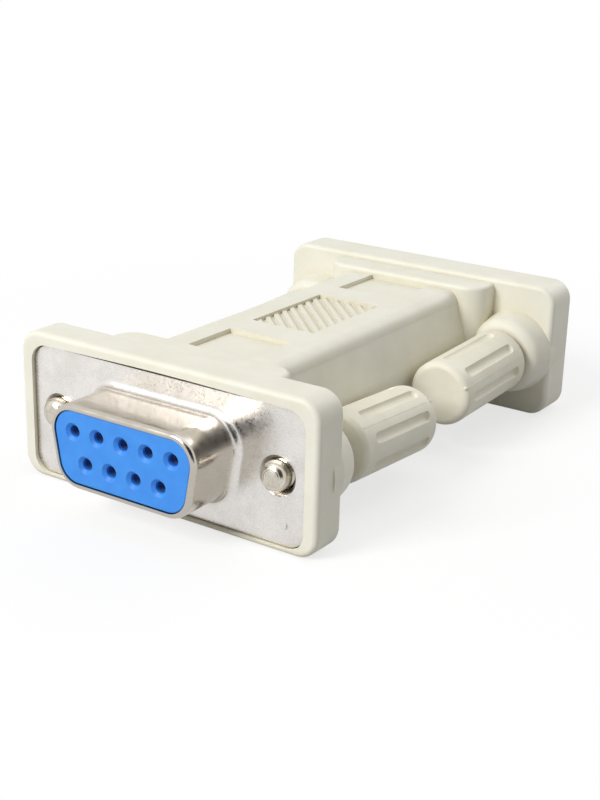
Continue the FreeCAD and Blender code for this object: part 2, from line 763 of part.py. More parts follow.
def cross_wires():
    """Seven wires: two pairs cross over, ground runs straight, and each ready line meets the far carrier."""
    radius = number("wire_radius")
    axis = number("connector_axis_height")
    end = number(PLATE_FACE) - number("tail_end")
    bend = end - number("wire_lead")
    spots = {contact: (number(across), number(up)) for contact, across, up in contact_places()}

    def route(start, finish, between):
        first = spots[start]
        last = spots[finish]
        stations = [(first, -end), (first, -bend)] + between + [(last, bend), (last, end)]
        return [FreeCAD.Vector(across, along, axis + up) for (across, up), along in stations]

    def level(start, finish, height):
        middle = (spots[start][0] + spots[finish][0]) / 2
        return [((middle, height), 0)]

    high = number("lane_high")
    top = number("lane_top")
    slope = number("lane_slope")
    ground = [FreeCAD.Vector(spots[5][0], along, axis + spots[5][1]) for along in (-end, end)]
    tube("wire_2_to_3", route(2, 3, level(2, 3, high)), radius)
    tube("wire_3_to_2", route(3, 2, []), radius)
    tube("wire_7_to_8", route(7, 8, level(7, 8, -high)), radius)
    tube("wire_8_to_7", route(8, 7, []), radius)
    tube("wire_4_to_6", route(4, 6, []), radius)
    over = [((spots[6][0], top), slope - bend), ((spots[4][0], top), bend - slope)]
    tube("wire_6_to_4", route(6, 4, over), radius)
    straight = Part.makeCylinder(radius, (ground[1] - ground[0]).Length, ground[0], ground[1] - ground[0])
    wire = document.addObject("Part::Feature", "wire_5_to_5")
    wire.Label = "wire_5_to_5"
    wire.Shape = straight


def jumper(label, rear):
    """The short bare link between the tails of contacts 1 and 6."""
    spots = {contact: (number(across), number(up)) for contact, across, up in contact_places()}
    ends = [FreeCAD.Vector(spots[contact][0], 0, spots[contact][1]) for contact in (1, 6)]
    link = Part.makeCylinder(number("jumper_radius"), (ends[1] - ends[0]).Length, ends[0], ends[1] - ends[0])
    tail = number("contact_radius")
    for point in ends:
        post = Part.makeCylinder(tail, 4 * tail, point - FreeCAD.Vector(0, 2 * tail, 0), FreeCAD.Vector(0, 1, 0))
        link = link.cut(post)
    wire = document.addObject("Part::Feature", label)
    wire.Label = label
    wire.Shape = link.Solids[0]
    side = 1 if rear else -1
    place(wire, "0", "(%d) * (%s - tail_end + jumper_setback)" % (side, PLATE_FACE), "connector_axis_height")


# Captive thumbscrews: in their own frame the knob's base is at Y = 0 and the tip at negative Y

def thumbscrew(label):
    """A steel screw: blunt tip, thread, thin neck that the housing's web holds, and a stem in the knob."""
    body = new_body(label)
    sketch = sketch_on(body, "Profile", "XY_Plane")
    profile = [("0", "-screw_reach"), ("tip_flat_radius", "-screw_reach"),
               ("thread_radius", "tip_length - screw_reach"), ("thread_radius", "-neck_length"),
               ("neck_radius", "-neck_length"), ("neck_radius", "stem_length"), ("0", "stem_length")]
    outline(sketch, profile, [None, "tip_round", "tip_shoulder_round"] + [None] * (len(profile) - 3))
    turn(body, "Revolution", "Turned", sketch)
    return body


def knob(label):
    """A moulded grip with closed flutes all round, blind-bored for the screw's stem."""
    body = new_body(label)
    sketch = sketch_on(body, "Profile", "XY_Plane")
    bore = "(neck_radius + stem_gap)"
    depth = "(stem_length + stem_end_gap)"
    outline(sketch, [(bore, "0"), ("knob_radius", "0"), ("knob_radius", "knob_length"), ("0", "knob_length"),
                     ("0", depth), (bore, depth)],
            [None, "knob_base_radius", "knob_end_radius", None, None, None])
    turn(body, "Revolution", "Grip", sketch)
    cutter = "knob_radius + flute_cutter_radius - flute_depth"
    flute = sketch_on(body, "FluteProfile", "XY_Plane", (cutter, "0", "0"))
    nose = "flute_cutter_radius"
    low = "flute_base_margin"
    high = "knob_length - flute_end_margin"
    outline(flute, [("0", low), (nose, low), (nose, high), ("0", high)],
            [None, nose + " * 0.9", nose + " * 0.9", None])
    groove = turn(body, "Groove", "Flute", flute)
    ring = body.newObject("PartDesign::PolarPattern", "Flutes")
    ring.Originals = [groove]
    axis = [item for item in body.Origin.OriginFeatures if item.Role == "Y_Axis"][0]
    ring.Axis = (axis, [""])
    ring.Angle = 360
    bind(ring, "Occurrences", "flute_count")
    body.Tip = ring
    confirm(ring)
    return body


def captive_screws():
    """A screw and its knob at each corner, drawn back from its seat by the gap of its end.

    The screw hangs in its loose bores: its tip rises to the top of the plate's hole and its knob
    sags, so that its axis leans about a point on the plate's face.
    """
    for rear, end in ((False, "front"), (True, "rear")):
        seat = "(%s - %s_flange_thickness - boss_length - %s_knob_gap)" % (HALF_LENGTH, end, end)
        height = "connector_axis_height + %s_tip_lift - (%s - %s) * tan(%s_sag)" % (
            end, PLATE_FACE, seat, end)
        sag = FreeCAD.Rotation(ALONG_X, -number(end + "_sag"))
        roll = FreeCAD.Rotation(ALONG_Y, number(end + "_knob_turn"))
        for side, hand in ((-1, "left"), (1, "right")):
            for piece in (thumbscrew("thumbscrew_%s_%s" % (end, hand)), knob("knob_%s_%s" % (end, hand))):
                place(piece, "(%d) * %s" % (side, SCREW_X), ("" if rear else "-") + seat,
                      height, turned=rear, lean=sag * roll)


def check_and_write():
    """Stop on any failed object or unsound solid, then write each sub-part to its own file."""
    document.recompute()
    for item in document.Objects:
        if "Invalid" in item.State or "Error" in item.State:
            raise ValueError("%s failed: %s" % (item.Label, item.State))
    os.makedirs(PARTS, exist_ok=True)
    pieces = [item for item in document.Objects if item.TypeId in ("PartDesign::Body", "Part::Feature")]
    for piece in pieces:
        if piece.Shape.isNull() or not piece.Shape.isValid() or len(piece.Shape.Solids) != 1:
            raise ValueError(piece.Label + " is not one sound solid")
    for piece in pieces:
        piece.Shape.exportStep(os.path.join(PARTS, piece.Label + ".step"))
        box = piece.Shape.BoundBox
        print("%-26s volume %9.2f  box %6.2f %6.2f %6.2f" % (
            piece.Label, piece.Shape.Volume, box.XLength, box.YLength, box.ZLength))


fill_sheet()
housing()
connectors()
cross_wires()
jumper("jumper_front", rear=False)
jumper("jumper_rear", rear=True)
captive_screws()
check_and_write()
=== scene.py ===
# %% [markdown]
# A null modem adapter, dressed around its solids
#
# The solids give every shape that has a real size: the beige moulding, the drawn steel shells, the blue
# insulator, the contacts and the four captive thumbscrews. This lesson gives them their finishes, adds
# what is too fine for the solids (the screw threads, the marks that the moulds leave) and lights them.
# All lengths are metres in the adapter's own frame: X to the right for someone facing the socket end,
# Y from the socket end to the pin end, Z up, with the underside at zero.

# %% Load the solids
import bpy
import json
import math
import numpy as np
from mathutils import Matrix, Vector

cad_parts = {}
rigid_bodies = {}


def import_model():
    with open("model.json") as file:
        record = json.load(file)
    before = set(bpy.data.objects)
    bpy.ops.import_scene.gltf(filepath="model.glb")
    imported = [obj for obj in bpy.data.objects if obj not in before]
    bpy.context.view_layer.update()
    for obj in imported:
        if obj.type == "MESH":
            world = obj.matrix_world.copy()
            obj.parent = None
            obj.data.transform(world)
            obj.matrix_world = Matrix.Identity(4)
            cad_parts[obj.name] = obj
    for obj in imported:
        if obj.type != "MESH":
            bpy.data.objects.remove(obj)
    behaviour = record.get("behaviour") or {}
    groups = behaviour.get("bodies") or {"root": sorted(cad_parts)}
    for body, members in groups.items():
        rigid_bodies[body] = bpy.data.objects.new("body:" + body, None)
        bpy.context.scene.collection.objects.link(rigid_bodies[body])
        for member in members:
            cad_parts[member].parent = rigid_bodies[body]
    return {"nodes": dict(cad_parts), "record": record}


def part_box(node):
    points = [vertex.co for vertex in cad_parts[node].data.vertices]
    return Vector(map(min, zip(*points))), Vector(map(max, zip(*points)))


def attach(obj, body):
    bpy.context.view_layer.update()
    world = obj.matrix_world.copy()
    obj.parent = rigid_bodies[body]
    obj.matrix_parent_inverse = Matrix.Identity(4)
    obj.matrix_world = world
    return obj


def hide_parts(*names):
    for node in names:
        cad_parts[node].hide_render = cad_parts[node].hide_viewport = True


for leftover in list(bpy.data.objects):
    bpy.data.objects.remove(leftover)
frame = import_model()
bpy.context.view_layer.update()
nodes = frame["nodes"]
MM = 0.001


# %% [markdown]
# The camera stands where the photograph was taken from: to the right of the socket end, a little above
# it and close by, so that the far flange looks clearly smaller. Its place could be found by eye, but the
# nine contact holes and the two screw holes have standard distances, so they fix it exactly. The three
# angles below are its bearing, its height above the horizon and its roll.

# %% Camera
CAMERA_PLACE = Vector((0.07589, -0.11567, 0.05378))
BEARING, HEIGHT, ROLL = (math.radians(angle) for angle in (33.863, 19.806, 1.505))
FOCAL_PIXELS = 1424.04
FRAME_LONG_PIXELS = 800
SENSOR_MM = 36.0


def camera_turn(bearing, height, roll):
    """The camera's axes as columns: right is level, back points away from the view, up is back x right.

    Roll then turns right towards up.
    """
    back = np.array([math.sin(bearing) * math.cos(height), -math.cos(bearing) * math.cos(height),
                     math.sin(height)])
    level = np.array([math.cos(bearing), math.sin(bearing), 0.0])
    upright = np.cross(back, level)
    right = math.cos(roll) * level + math.sin(roll) * upright
    up = math.cos(roll) * upright - math.sin(roll) * level
    return Matrix(np.column_stack([right, up, back]).tolist())


lens_data = bpy.data.cameras.new("camera")
lens_data.sensor_width = SENSOR_MM
lens_data.lens = FOCAL_PIXELS * SENSOR_MM / FRAME_LONG_PIXELS
lens_data.clip_start = 0.005
lens_data.clip_end = 10.0
camera = bpy.data.objects.new("camera", lens_data)
bpy.context.scene.collection.objects.link(camera)
camera.matrix_world = Matrix.Translation(CAMERA_PLACE) @ camera_turn(BEARING, HEIGHT, ROLL).to_4x4()
bpy.context.scene.camera = camera
print("lens in mm:", round(lens_data.lens, 2))

# %% [markdown]
# A material is a small graph of nodes. Writing each node out takes three lines, so one helper adds a
# node with its settings, and another starts a material with its shader. Numbers that are the same all
# over a surface go straight onto the shader's own sockets.


# %% Helpers for materials
def add_node(tree, kind, settings=None, **inputs):
    """A node of that kind: settings are its own properties, inputs are socket values or links."""
    node = tree.nodes.new(kind)
    for name, value in (settings or {}).items():
        setattr(node, name, value)
    for name, value in inputs.items():
        socket = node.inputs[int(name[1:])] if name[1:].isdigit() else node.inputs[name.replace("_", " ")]
        if isinstance(value, bpy.types.NodeSocket):
            tree.links.new(value, socket)
        else:
            socket.default_value = value
    return node


def start_material(name, **shader_inputs):
    """A new material and its Principled shader, with its own sockets set."""
    material = bpy.data.materials.new(name)
    material.use_nodes = True
    tree = material.node_tree
    shader = tree.nodes["Principled BSDF"]
    for socket, value in shader_inputs.items():
        shader.inputs[socket.replace("_", " ")].default_value = value
    return material, tree, shader


def linear(red, green, blue):
    """Screen values of 0 to 255 as the linear colour that renders to them."""
    share = np.array([red, green, blue]) / 255
    light = np.where(share <= 0.04045, share / 12.92, ((share + 0.055) / 1.055) ** 2.4)
    return (*light.tolist(), 1.0)


def place_on_object(tree):
    """The socket that gives each point's place on the object, in metres."""
    return add_node(tree, "ShaderNodeTexCoord").outputs["Object"]


def noise(tree, scale, detail=2.0, roughness=0.5, vector=None):
    """A cloudy pattern; scale is in cycles per metre."""
    return add_node(tree, "ShaderNodeTexNoise", Vector=vector or place_on_object(tree), Scale=scale,
                    Detail=detail, Roughness=roughness).outputs["Fac"]


def remap(tree, value, low, high, new_low, new_high):
    """A number stretched from one span to another and held inside it."""
    return add_node(tree, "ShaderNodeMapRange", Value=value, From_Min=low, From_Max=high, To_Min=new_low,
                    To_Max=new_high).outputs["Result"]


def blend_colours(tree, share, first, second):
    """A mix of two colours, each a value or a link."""
    return add_node(tree, "ShaderNodeMix", {"data_type": "RGBA"}, _0=share, _6=first, _7=second).outputs[2]


def bump(tree, height, distance, strength=1.0, normal=None):
    """A normal tilted by a height pattern of that depth in metres."""
    node = add_node(tree, "ShaderNodeBump", Height=height, Distance=distance, Strength=strength)
    if normal is not None:
        tree.links.new(normal, node.inputs["Normal"])
    return node.outputs["Normal"]


# %% [markdown]
# The housing and the knobs are moulded in a warm off-white plastic. The mould was spark-eroded, so the
# surface carries a fine even grain that spreads the highlight, and handling has left faint cloudy
# differences in colour. A flat colour would look like paint; a grain that is too coarse would look like
# stone, so its cells are about a tenth of a millimetre. An ambient occlusion node finds the corners, and
# the colour there is painted shade: darker and warmer.


# %% Moulded plastic
CLOUD_SCALE = 260.0
# Painted shade in corners: how far it reaches and how it tints the colour.
CORNER_SHADE_REACH = 1.6 * MM
CORNER_SHADE_TINT = (0.86, 0.80, 0.68)
SPARK_SCALE = 9000.0
SINK_SCALE = 420.0
SINK_DEPTH = 0.04 * MM


def moulded_plastic(name, colour, shade, grain_depth):
    """Off-white plastic: cloudy colour, a darker, warmer painted shade in corners, and a fine spark-eroded
    grain.
    """
    material, tree, shader = start_material(name, IOR=1.49)
    place = place_on_object(tree)
    clouds = remap(tree, noise(tree, CLOUD_SCALE, 3.0, 0.6, place), 0.35, 0.7, 0.0, 1.0)
    tone = blend_colours(tree, clouds, colour, shade)
    # Painted shade: where the occlusion finds a corner, the colour turns darker and warmer.
    corner = add_node(tree, "ShaderNodeAmbientOcclusion", {"samples": 8}, Distance=CORNER_SHADE_REACH)
    corner_shade = remap(tree, corner.outputs["AO"], 0.35, 0.95, 0.55, 0.0)
    corner_shade_colour = tuple(channel * factor for channel, factor in zip(shade, CORNER_SHADE_TINT)) + (1.0,)
    tinted = blend_colours(tree, corner_shade, tone, corner_shade_colour)
    tree.links.new(tinted, shader.inputs["Base Color"])
    fine = noise(tree, SPARK_SCALE, 2.0, 0.6, place)
    swirl = noise(tree, SINK_SCALE, 2.0, 0.5, place)
    tree.links.new(remap(tree, fine, 0.2, 0.8, 0.42, 0.58), shader.inputs["Roughness"])
    soft = bump(tree, swirl, SINK_DEPTH, 0.5)
    tree.links.new(bump(tree, fine, grain_depth, 0.6, soft), shader.inputs["Normal"])
    return material


housing_plastic = moulded_plastic("housing_plastic", linear(232, 230, 216), linear(226, 223, 207),
                                  0.006 * MM)
knob_plastic = moulded_plastic("knob_plastic", linear(234, 231, 215), linear(226, 221, 201), 0.005 * MM)
print("plastics:", housing_plastic.name, knob_plastic.name)

# %% [markdown]
# The shells are steel sheet with a satin nickel plating. Nickel is a little warmer than chrome. Drawing
# the shell out of the sheet stretches its skin, which leaves long streaks and an uneven gloss; the flat
# plate only keeps a fine grain. The pattern goes into the roughness and the bump, so the reflections break
# up the way they do on the real sheet. A streak is an ordinary cloudy pattern that is read on a place whose
# X counts for less, so that its clouds become long along X. The drawn shell is painted a darker, warmer
# colour for the darker reflections it shows, and the corners get painted shade. One small nick marks the
# front plate near its lower right corner.


# %% Nickel plating
PLATE_FACE = 24.3 * MM
DRAWN_REACH = 1.0 * MM
DRAWN_ROUGHNESS = (0.14, 0.26)
FLAT_ROUGHNESS = (0.24, 0.36)
STREAK_SCALE = 1700.0
STREAK_SHARE = 0.25
WAVE_SCALE = 330.0
WAVE_DEPTH = 0.03 * MM
PEEL_SCALE = 3600.0
PEEL_DEPTH = 0.008 * MM
GRAIN_SCALE = 9000.0
GRAIN_DEPTH = 0.002 * MM
# How far painted shade reaches into the corners; its colour is the darkest of the nickel colours below.
NICKEL_SHADE_REACH = 1.2 * MM
CLOUDED_NICKEL = linear(186, 178, 168)
SPECKLED_NICKEL = linear(168, 160, 148)
SHADED_NICKEL = linear(128, 118, 100)
NICK_PLACE = (13.5 * MM, -PLATE_FACE, 2.4 * MM)
NICK_HALF_SIZE = (0.13 * MM, 1.0 * MM, 0.4 * MM)
NICK_DEPTH = 0.14 * MM


def nick(tree, place):
    """How deep the nick is at a point: 1 in its middle, falling evenly to 0 at the edge of an ellipse."""
    offset = add_node(tree, "ShaderNodeVectorMath", {"operation": "SUBTRACT"}, _0=place, _1=NICK_PLACE)
    share = add_node(tree, "ShaderNodeVectorMath", {"operation": "DIVIDE"}, _0=offset.outputs["Vector"],
                     _1=NICK_HALF_SIZE)
    length = add_node(tree, "ShaderNodeVectorMath", {"operation": "LENGTH"}, _0=share.outputs["Vector"])
    return remap(tree, length.outputs["Value"], 0.0, 1.0, 1.0, 0.0)


def satin_nickel(name, colour, drawn_shade_colour):
    """Plated sheet: the flat plate keeps a fine matt grain, and the drawn shell is smoother and streaky.

    How far a point is drawn is its distance from the plate's face, over a millimetre.
    """
    material, tree, shader = start_material(name, Metallic=1.0)
    place = place_on_object(tree)
    along = add_node(tree, "ShaderNodeSeparateXYZ", Vector=place).outputs["Y"]
    from_middle = add_node(tree, "ShaderNodeMath", {"operation": "ABSOLUTE"}, _0=along).outputs[0]
    drawn = remap(tree, from_middle, PLATE_FACE, PLATE_FACE + DRAWN_REACH, 0.0, 1.0)
    peel = noise(tree, PEEL_SCALE, 2.0, 0.6, place)
    clouds = noise(tree, WAVE_SCALE, 3.0, 0.6, place)
    grain = noise(tree, GRAIN_SCALE, 2.0, 0.6, place)
    stretched = add_node(tree, "ShaderNodeVectorMath", {"operation": "MULTIPLY"}, _0=place,
                         _1=(STREAK_SHARE, 1.0, 1.0)).outputs["Vector"]
    streaks = noise(tree, STREAK_SCALE, 3.0, 0.6, stretched)
    # Painted shade: the drawn shell takes a darker, warmer colour for the darker reflections it shows.
    base = blend_colours(tree, drawn, colour, drawn_shade_colour)
    clouded = blend_colours(tree, remap(tree, clouds, 0.42, 0.72, 0.0, 0.3), base, CLOUDED_NICKEL)
    speckled = blend_colours(tree, remap(tree, grain, 0.55, 0.75, 0.0, 0.35), clouded, SPECKLED_NICKEL)
    # Painted shade: the corners take the darkest nickel colour.
    corner = add_node(tree, "ShaderNodeAmbientOcclusion", {"samples": 8}, Distance=NICKEL_SHADE_REACH)
    darker_share = remap(tree, corner.outputs["AO"], 0.3, 0.9, 0.45, 0.0)
    tree.links.new(blend_colours(tree, darker_share, speckled, SHADED_NICKEL), shader.inputs["Base Color"])
    matt = remap(tree, peel, 0.3, 0.7, *FLAT_ROUGHNESS)
    smooth = remap(tree, streaks, 0.35, 0.65, *DRAWN_ROUGHNESS)
    roughness = add_node(tree, "ShaderNodeMix", _0=drawn, _2=matt, _3=smooth).outputs[0]
    tree.links.new(roughness, shader.inputs["Roughness"])
    waves = bump(tree, clouds, WAVE_DEPTH, 0.35)
    flatter = remap(tree, peel, 0.0, 1.0, 0.3, 0.7)
    pulled = add_node(tree, "ShaderNodeMix", _0=drawn, _2=flatter, _3=streaks).outputs[0]
    nicked = bump(tree, nick(tree, place), -NICK_DEPTH, 1.0, waves)
    rippled = bump(tree, pulled, PEEL_DEPTH, 0.6, nicked)
    tree.links.new(bump(tree, grain, GRAIN_DEPTH, 0.5, rippled), shader.inputs["Normal"])
    return material


# The second colour, darker and warmer, is painted shade on the drawn shell.
nickel_plate = satin_nickel("nickel_plate", linear(240, 237, 233), linear(200, 194, 185))
print("plating:", nickel_plate.name)

# %% [markdown]
# The insulator is moulded in bright blue plastic with a slightly rough face, and a little light passes
# through it. The contacts are turned brass under a thin flash of gold. Down in the holes the sleeves look
# dark blue, because only light from the blue walls reaches them. The screws are plated steel with turning
# marks, which run round the axis: a wave pattern in rings would only work about one axis, so the marks
# come from real geometry later on, and the material only adds a faint grain.


# %% Blue insulator, gold contacts, screw steel and wire
GILT = linear(226, 206, 158)
SLEEVE_SHADE_DEPTH = 3.0 * MM


def insulator_plastic():
    """Bright blue plastic with cloudy colour and a soft grain."""
    material, tree, shader = start_material("insulator_plastic", Roughness=0.45, IOR=1.5,
                                            Subsurface_Weight=0.3, Subsurface_Radius=(0.3, 0.6, 1.0),
                                            Subsurface_Scale=0.5 * MM)
    place = place_on_object(tree)
    clouds = remap(tree, noise(tree, 500.0, 3.0, 0.6, place), 0.35, 0.7, 0.0, 1.0)
    tree.links.new(blend_colours(tree, clouds, linear(62, 148, 236), linear(54, 138, 228)),
                   shader.inputs["Base Color"])
    grain = noise(tree, 3800.0, 2.0, 0.6, place)
    tree.links.new(bump(tree, grain, 0.01 * MM, 0.6), shader.inputs["Normal"])
    return material


def tarnish_clouds(tree, place, most):
    """The share of tarnish at each point: none in most places, and that share where a cloud is thick."""
    return remap(tree, noise(tree, 900.0, 3.0, 0.6, place), 0.4, 0.75, 0.0, most)


def plated(name, colour, dark, roughness):
    """A plated or bare metal with faint cloudy tarnish."""
    material, tree, shader = start_material(name, Metallic=1.0, Roughness=roughness)
    place = place_on_object(tree)
    darker_share = tarnish_clouds(tree, place, 1.0)
    tree.links.new(blend_colours(tree, darker_share, colour, dark), shader.inputs["Base Color"])
    grain = noise(tree, 6000.0, 2.0, 0.5, place)
    tree.links.new(bump(tree, grain, 0.004 * MM, 0.5), shader.inputs["Normal"])
    return material


def shaded_sleeve(mouth, depth):
    """Gilt sleeve: its mouth sits deep between blue walls, so the light that reaches it is dark blue.

    The share of gilt is the depth behind the mouth, over the depth of that shade.
    """
    material, tree, shader = start_material("shaded_sleeve", Roughness=0.4)
    place = place_on_object(tree)
    inward = add_node(tree, "ShaderNodeSeparateXYZ", Vector=place).outputs["Y"]
    gilt = remap(tree, inward, mouth, mouth + depth, 0.0, 1.0)
    darker_share = tarnish_clouds(tree, place, 0.3)
    shade = blend_colours(tree, darker_share, linear(30, 92, 170), linear(22, 70, 140))
    tree.links.new(blend_colours(tree, gilt, shade, GILT), shader.inputs["Base Color"])
    tree.links.new(gilt, shader.inputs["Metallic"])
    return material


def wire_insulation(name, colour):
    """Extruded insulation: glossy, with a slight variation in colour along the wire."""
    material, tree, shader = start_material(name, Roughness=0.3, IOR=1.5)
    share = remap(tree, noise(tree, 700.0), 0.3, 0.7, 0.0, 1.0)
    darker = tuple(channel * 0.8 for channel in colour[:3]) + (1.0,)
    tree.links.new(blend_colours(tree, share, colour, darker), shader.inputs["Base Color"])
    return material


insulator_blue = insulator_plastic()
sleeve_gilt = shaded_sleeve(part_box("socket_contact_1")[0][1], SLEEVE_SHADE_DEPTH)
gilt_brass = plated("gilt_brass", GILT, linear(188, 166, 118), 0.25)
screw_steel = plated("screw_steel", linear(222, 216, 204), linear(186, 178, 162), 0.24)
tinned_wire = plated("tinned_wire", linear(214, 214, 212), linear(176, 176, 174), 0.35)
finishes = {
    "housing_plastic": housing_plastic, "knob_plastic": knob_plastic, "nickel_plate": nickel_plate,
    "insulator_plastic": insulator_blue, "gilt_brass": gilt_brass, "screw_steel": screw_steel,
    "tinned_wire": tinned_wire,
}
for entry in frame["record"]["materials"]:
    if entry["slot"].startswith("wire_"):
        finishes[entry["slot"]] = wire_insulation(entry["slot"], (*entry["base_color"][:3], 1.0))
print("finishes:", len(finishes))

# %% [markdown]
# The record says which slot each solid belongs to, so a loop dresses them all. Only the nine sleeves get
# a finish of their own.

# %% Put the finishes on the solids
slot_of = {entry["node"]: entry["material_slot"] for entry in frame["record"]["subparts"]}
for name, solid in nodes.items():
    finish = sleeve_gilt if name.startswith("socket_contact") else finishes[slot_of[name]]
    solid.data.materials.clear()
    solid.data.materials.append(finish)
print("dressed solids:", len(slot_of))

# %% [markdown]
# New pieces are surfaces on a grid: rows along the piece, columns around it. One helper turns such a
# grid into a mesh. Every point of a column is joined to the next row's, the last column meets the first,
# and the ends are closed with a single point each, so the surface has no hole.


# %% Grid to mesh
def closed_skin(name, rings, first_pole, last_pole, body, finish):
    """A closed surface: rings is an array of rows x columns x 3, and a pole closes each end.

    Quads join neighbouring rows, and fans of triangles join the outer rows to the poles.
    """
    rows, columns = rings.shape[:2]
    points = np.vstack([rings.reshape(-1, 3), [first_pole], [last_pole]])
    row, column = np.meshgrid(np.arange(rows - 1), np.arange(columns), indexing="ij")
    after = (column + 1) % columns
    quads = np.stack([row * columns + column, row * columns + after, (row + 1) * columns + after,
                      (row + 1) * columns + column], axis=-1).reshape(-1, 4)
    around = np.arange(columns)
    step = (around + 1) % columns
    low = rows * columns
    fan_first = np.stack([np.full(columns, low), step, around], axis=-1)
    last_row = (rows - 1) * columns
    fan_last = np.stack([np.full(columns, low + 1), last_row + around, last_row + step], axis=-1)
    mesh = bpy.data.meshes.new(name)
    mesh.from_pydata(points.tolist(), [], quads.tolist() + fan_first.tolist() + fan_last.tolist())
    mesh.update()
    mesh.shade_smooth()
    mesh.materials.append(finish)
    piece = bpy.data.objects.new(name, mesh)
    bpy.context.scene.collection.objects.link(piece)
    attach(piece, body)
    return piece


# %% [markdown]
# The captive screws hang a little in their loose bores, so each screw and its knob share an axis that
# leans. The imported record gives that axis: the mount at a screw's end holds the middle of its tip and the
# direction it points in. Everything on a screw or a knob is built from these two, so it leans with them.

# %% Axes of the screws
CORNERS = [(end, hand) for end in ("front", "rear") for hand in ("left", "right")]
mounts = {mount["name"]: mount for mount in frame["record"]["mounts"]}


def screw_axis(end, hand):
    """The middle of a screw's tip, the direction it points in, and two directions square to it.

    The first of the two is X. The second is the cross product of X and the pointing direction.
    """
    mount = mounts["screw_end_%s_%s" % (end, hand)]
    forward = np.array(mount["axis"]) / np.linalg.norm(mount["axis"])
    across = np.array([1.0, 0.0, 0.0])
    return np.array(mount["pos_m"]), forward, across, np.cross(across, forward)


for end, hand in CORNERS:
    tip, forward, _, _ = screw_axis(end, hand)
    print(end, hand, "tip in mm:", (tip / MM).round(2).tolist(), "points:", forward.round(3).tolist())

# %% [markdown]
# The thumbscrews carry a 4-40 thread: 2.84 mm over its crests, forty turns to the inch. In the solids
# it is a plain cylinder, because a helix would burden every check. Here the surface is one formula: the
# distance from the axis depends on the place along it and on the angle, which is exactly what makes a
# helix. The blunt tip keeps the rings that the lathe tool left, and the thread fades out where it
# starts and at the neck, so it needs no caps or extra pieces.

# %% Sizes of the thumbscrews
THREAD_RADIUS = 1.42 * MM
ROOT_RADIUS = 1.06 * MM
NECK_RADIUS = 0.95 * MM
THREAD_PITCH = 0.635 * MM
ROOT_SHARE = 0.25
FLANK_SHARE = 0.62
RUN_OUT_SLOPE = 1.2
FADE_TURNS = 0.5
SCREW_REACH = 10.3 * MM
NECK_LENGTH = 4.85 * MM
STEM_LENGTH = 8.0 * MM
TIP_LENGTH = 1.15 * MM
TIP_FLAT_RADIUS = 0.55 * MM
RING_STEP = 0.2 * MM
RING_DEPTH = 0.02 * MM
AROUND = 72
ROWS_PER_PITCH = 14
TIP_ROWS = 46
STEM_ROWS = 8
STEM_START = 0.1 * MM


def thread_height(place, angle):
    """How far up the flank a point is, from 0 at the root to 1 at the crest.

    It is the distance from the middle of the groove, in turns, where the groove moves on by one pitch
    for each turn round the axis. The crest is flat for an eighth of the pitch and the root for a quarter.
    """
    turns = (place / THREAD_PITCH - angle / (2 * math.pi)) % 1.0
    from_groove = np.abs(turns - 0.5) * 2
    return np.clip((from_groove - ROOT_SHARE) / FLANK_SHARE, 0.0, 1.0)


def shank_radius(place, angle):
    """Distance from the axis behind the tip, at a place measured back from it and an angle.

    The thread deepens over half a pitch behind the tip, and a cone towards the neck cuts it off.
    """
    thread = ROOT_RADIUS + (THREAD_RADIUS - ROOT_RADIUS) * thread_height(place, angle)
    run_out = NECK_RADIUS + RUN_OUT_SLOPE * np.clip(SCREW_REACH - NECK_LENGTH - place, 0.0, None)
    fade = np.clip((place - TIP_LENGTH) / (FADE_TURNS * THREAD_PITCH), 0.0, 1.0)
    return np.minimum(THREAD_RADIUS + fade * (thread - THREAD_RADIUS), run_out)


# %% Screw surface
def tip_rings():
    """Places and radii of the blunt tip, from its middle out to the full radius.

    The outline is a quarter of a superellipse, so that it has a small flat, a cone and a round shoulder.
    Cosine ripples across it are the rings that the lathe tool left.
    """
    share = np.linspace(0.02, 1.0, TIP_ROWS) * math.pi / 2
    radius = THREAD_RADIUS * np.sin(share) ** 0.9
    place = TIP_LENGTH * (1 - np.cos(share) ** 0.75)
    flat = np.clip((radius - TIP_FLAT_RADIUS) / (THREAD_RADIUS - TIP_FLAT_RADIUS), 0.0, 1.0)
    ripple = RING_DEPTH * (1 - np.cos(2 * math.pi * radius / RING_STEP)) / 2
    return flat * place + ripple * (1 - flat ** 4), radius


def screw_surface(tip, forward, across, upward):
    """The whole screw as rings: tip, thread, neck and stem, round the axis that starts at the tip."""
    angle = np.linspace(0, 2 * math.pi, AROUND, endpoint=False)
    tip_place, tip_radius = tip_rings()
    threaded = SCREW_REACH - NECK_LENGTH
    count = int((threaded - TIP_LENGTH) / THREAD_PITCH * ROWS_PER_PITCH)
    along = np.concatenate([np.linspace(TIP_LENGTH, threaded, count + 1)[1:],
                            np.linspace(threaded + STEM_START, SCREW_REACH + STEM_LENGTH, STEM_ROWS)])
    place, turn = np.meshgrid(along, angle, indexing="ij")
    radius = np.vstack([np.repeat(tip_radius[:, None], AROUND, axis=1), shank_radius(place, turn)])
    place = np.vstack([np.repeat(tip_place[:, None], AROUND, axis=1), place])
    turn = np.vstack([np.repeat(angle[None, :], len(tip_radius), axis=0), turn])
    round_axis = np.cos(turn)[..., None] * across + np.sin(turn)[..., None] * upward
    rings = tip - place[..., None] * forward + radius[..., None] * round_axis
    return rings, tip, tip - (SCREW_REACH + STEM_LENGTH) * forward


for end, hand in CORNERS:
    rings, first, last = screw_surface(*screw_axis(end, hand))
    screw = closed_skin("threaded_screw_%s_%s" % (end, hand), rings, first, last,
                        "screw_%s_%s" % (end, hand), screw_steel)
    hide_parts("thumbscrew_%s_%s" % (end, hand))
print("screws:", len(CORNERS), "rows x columns:", rings.shape[:2])

# %% [markdown]
# Each knob was moulded in two halves. Where the halves of the mould met, a fine raised line runs up one
# side, over the end and down the other, and a small nub on the rim shows where the plastic flowed in.
# Both are surfaces carried along a path: a low ridge along the knob's outline, and a rounded bump.

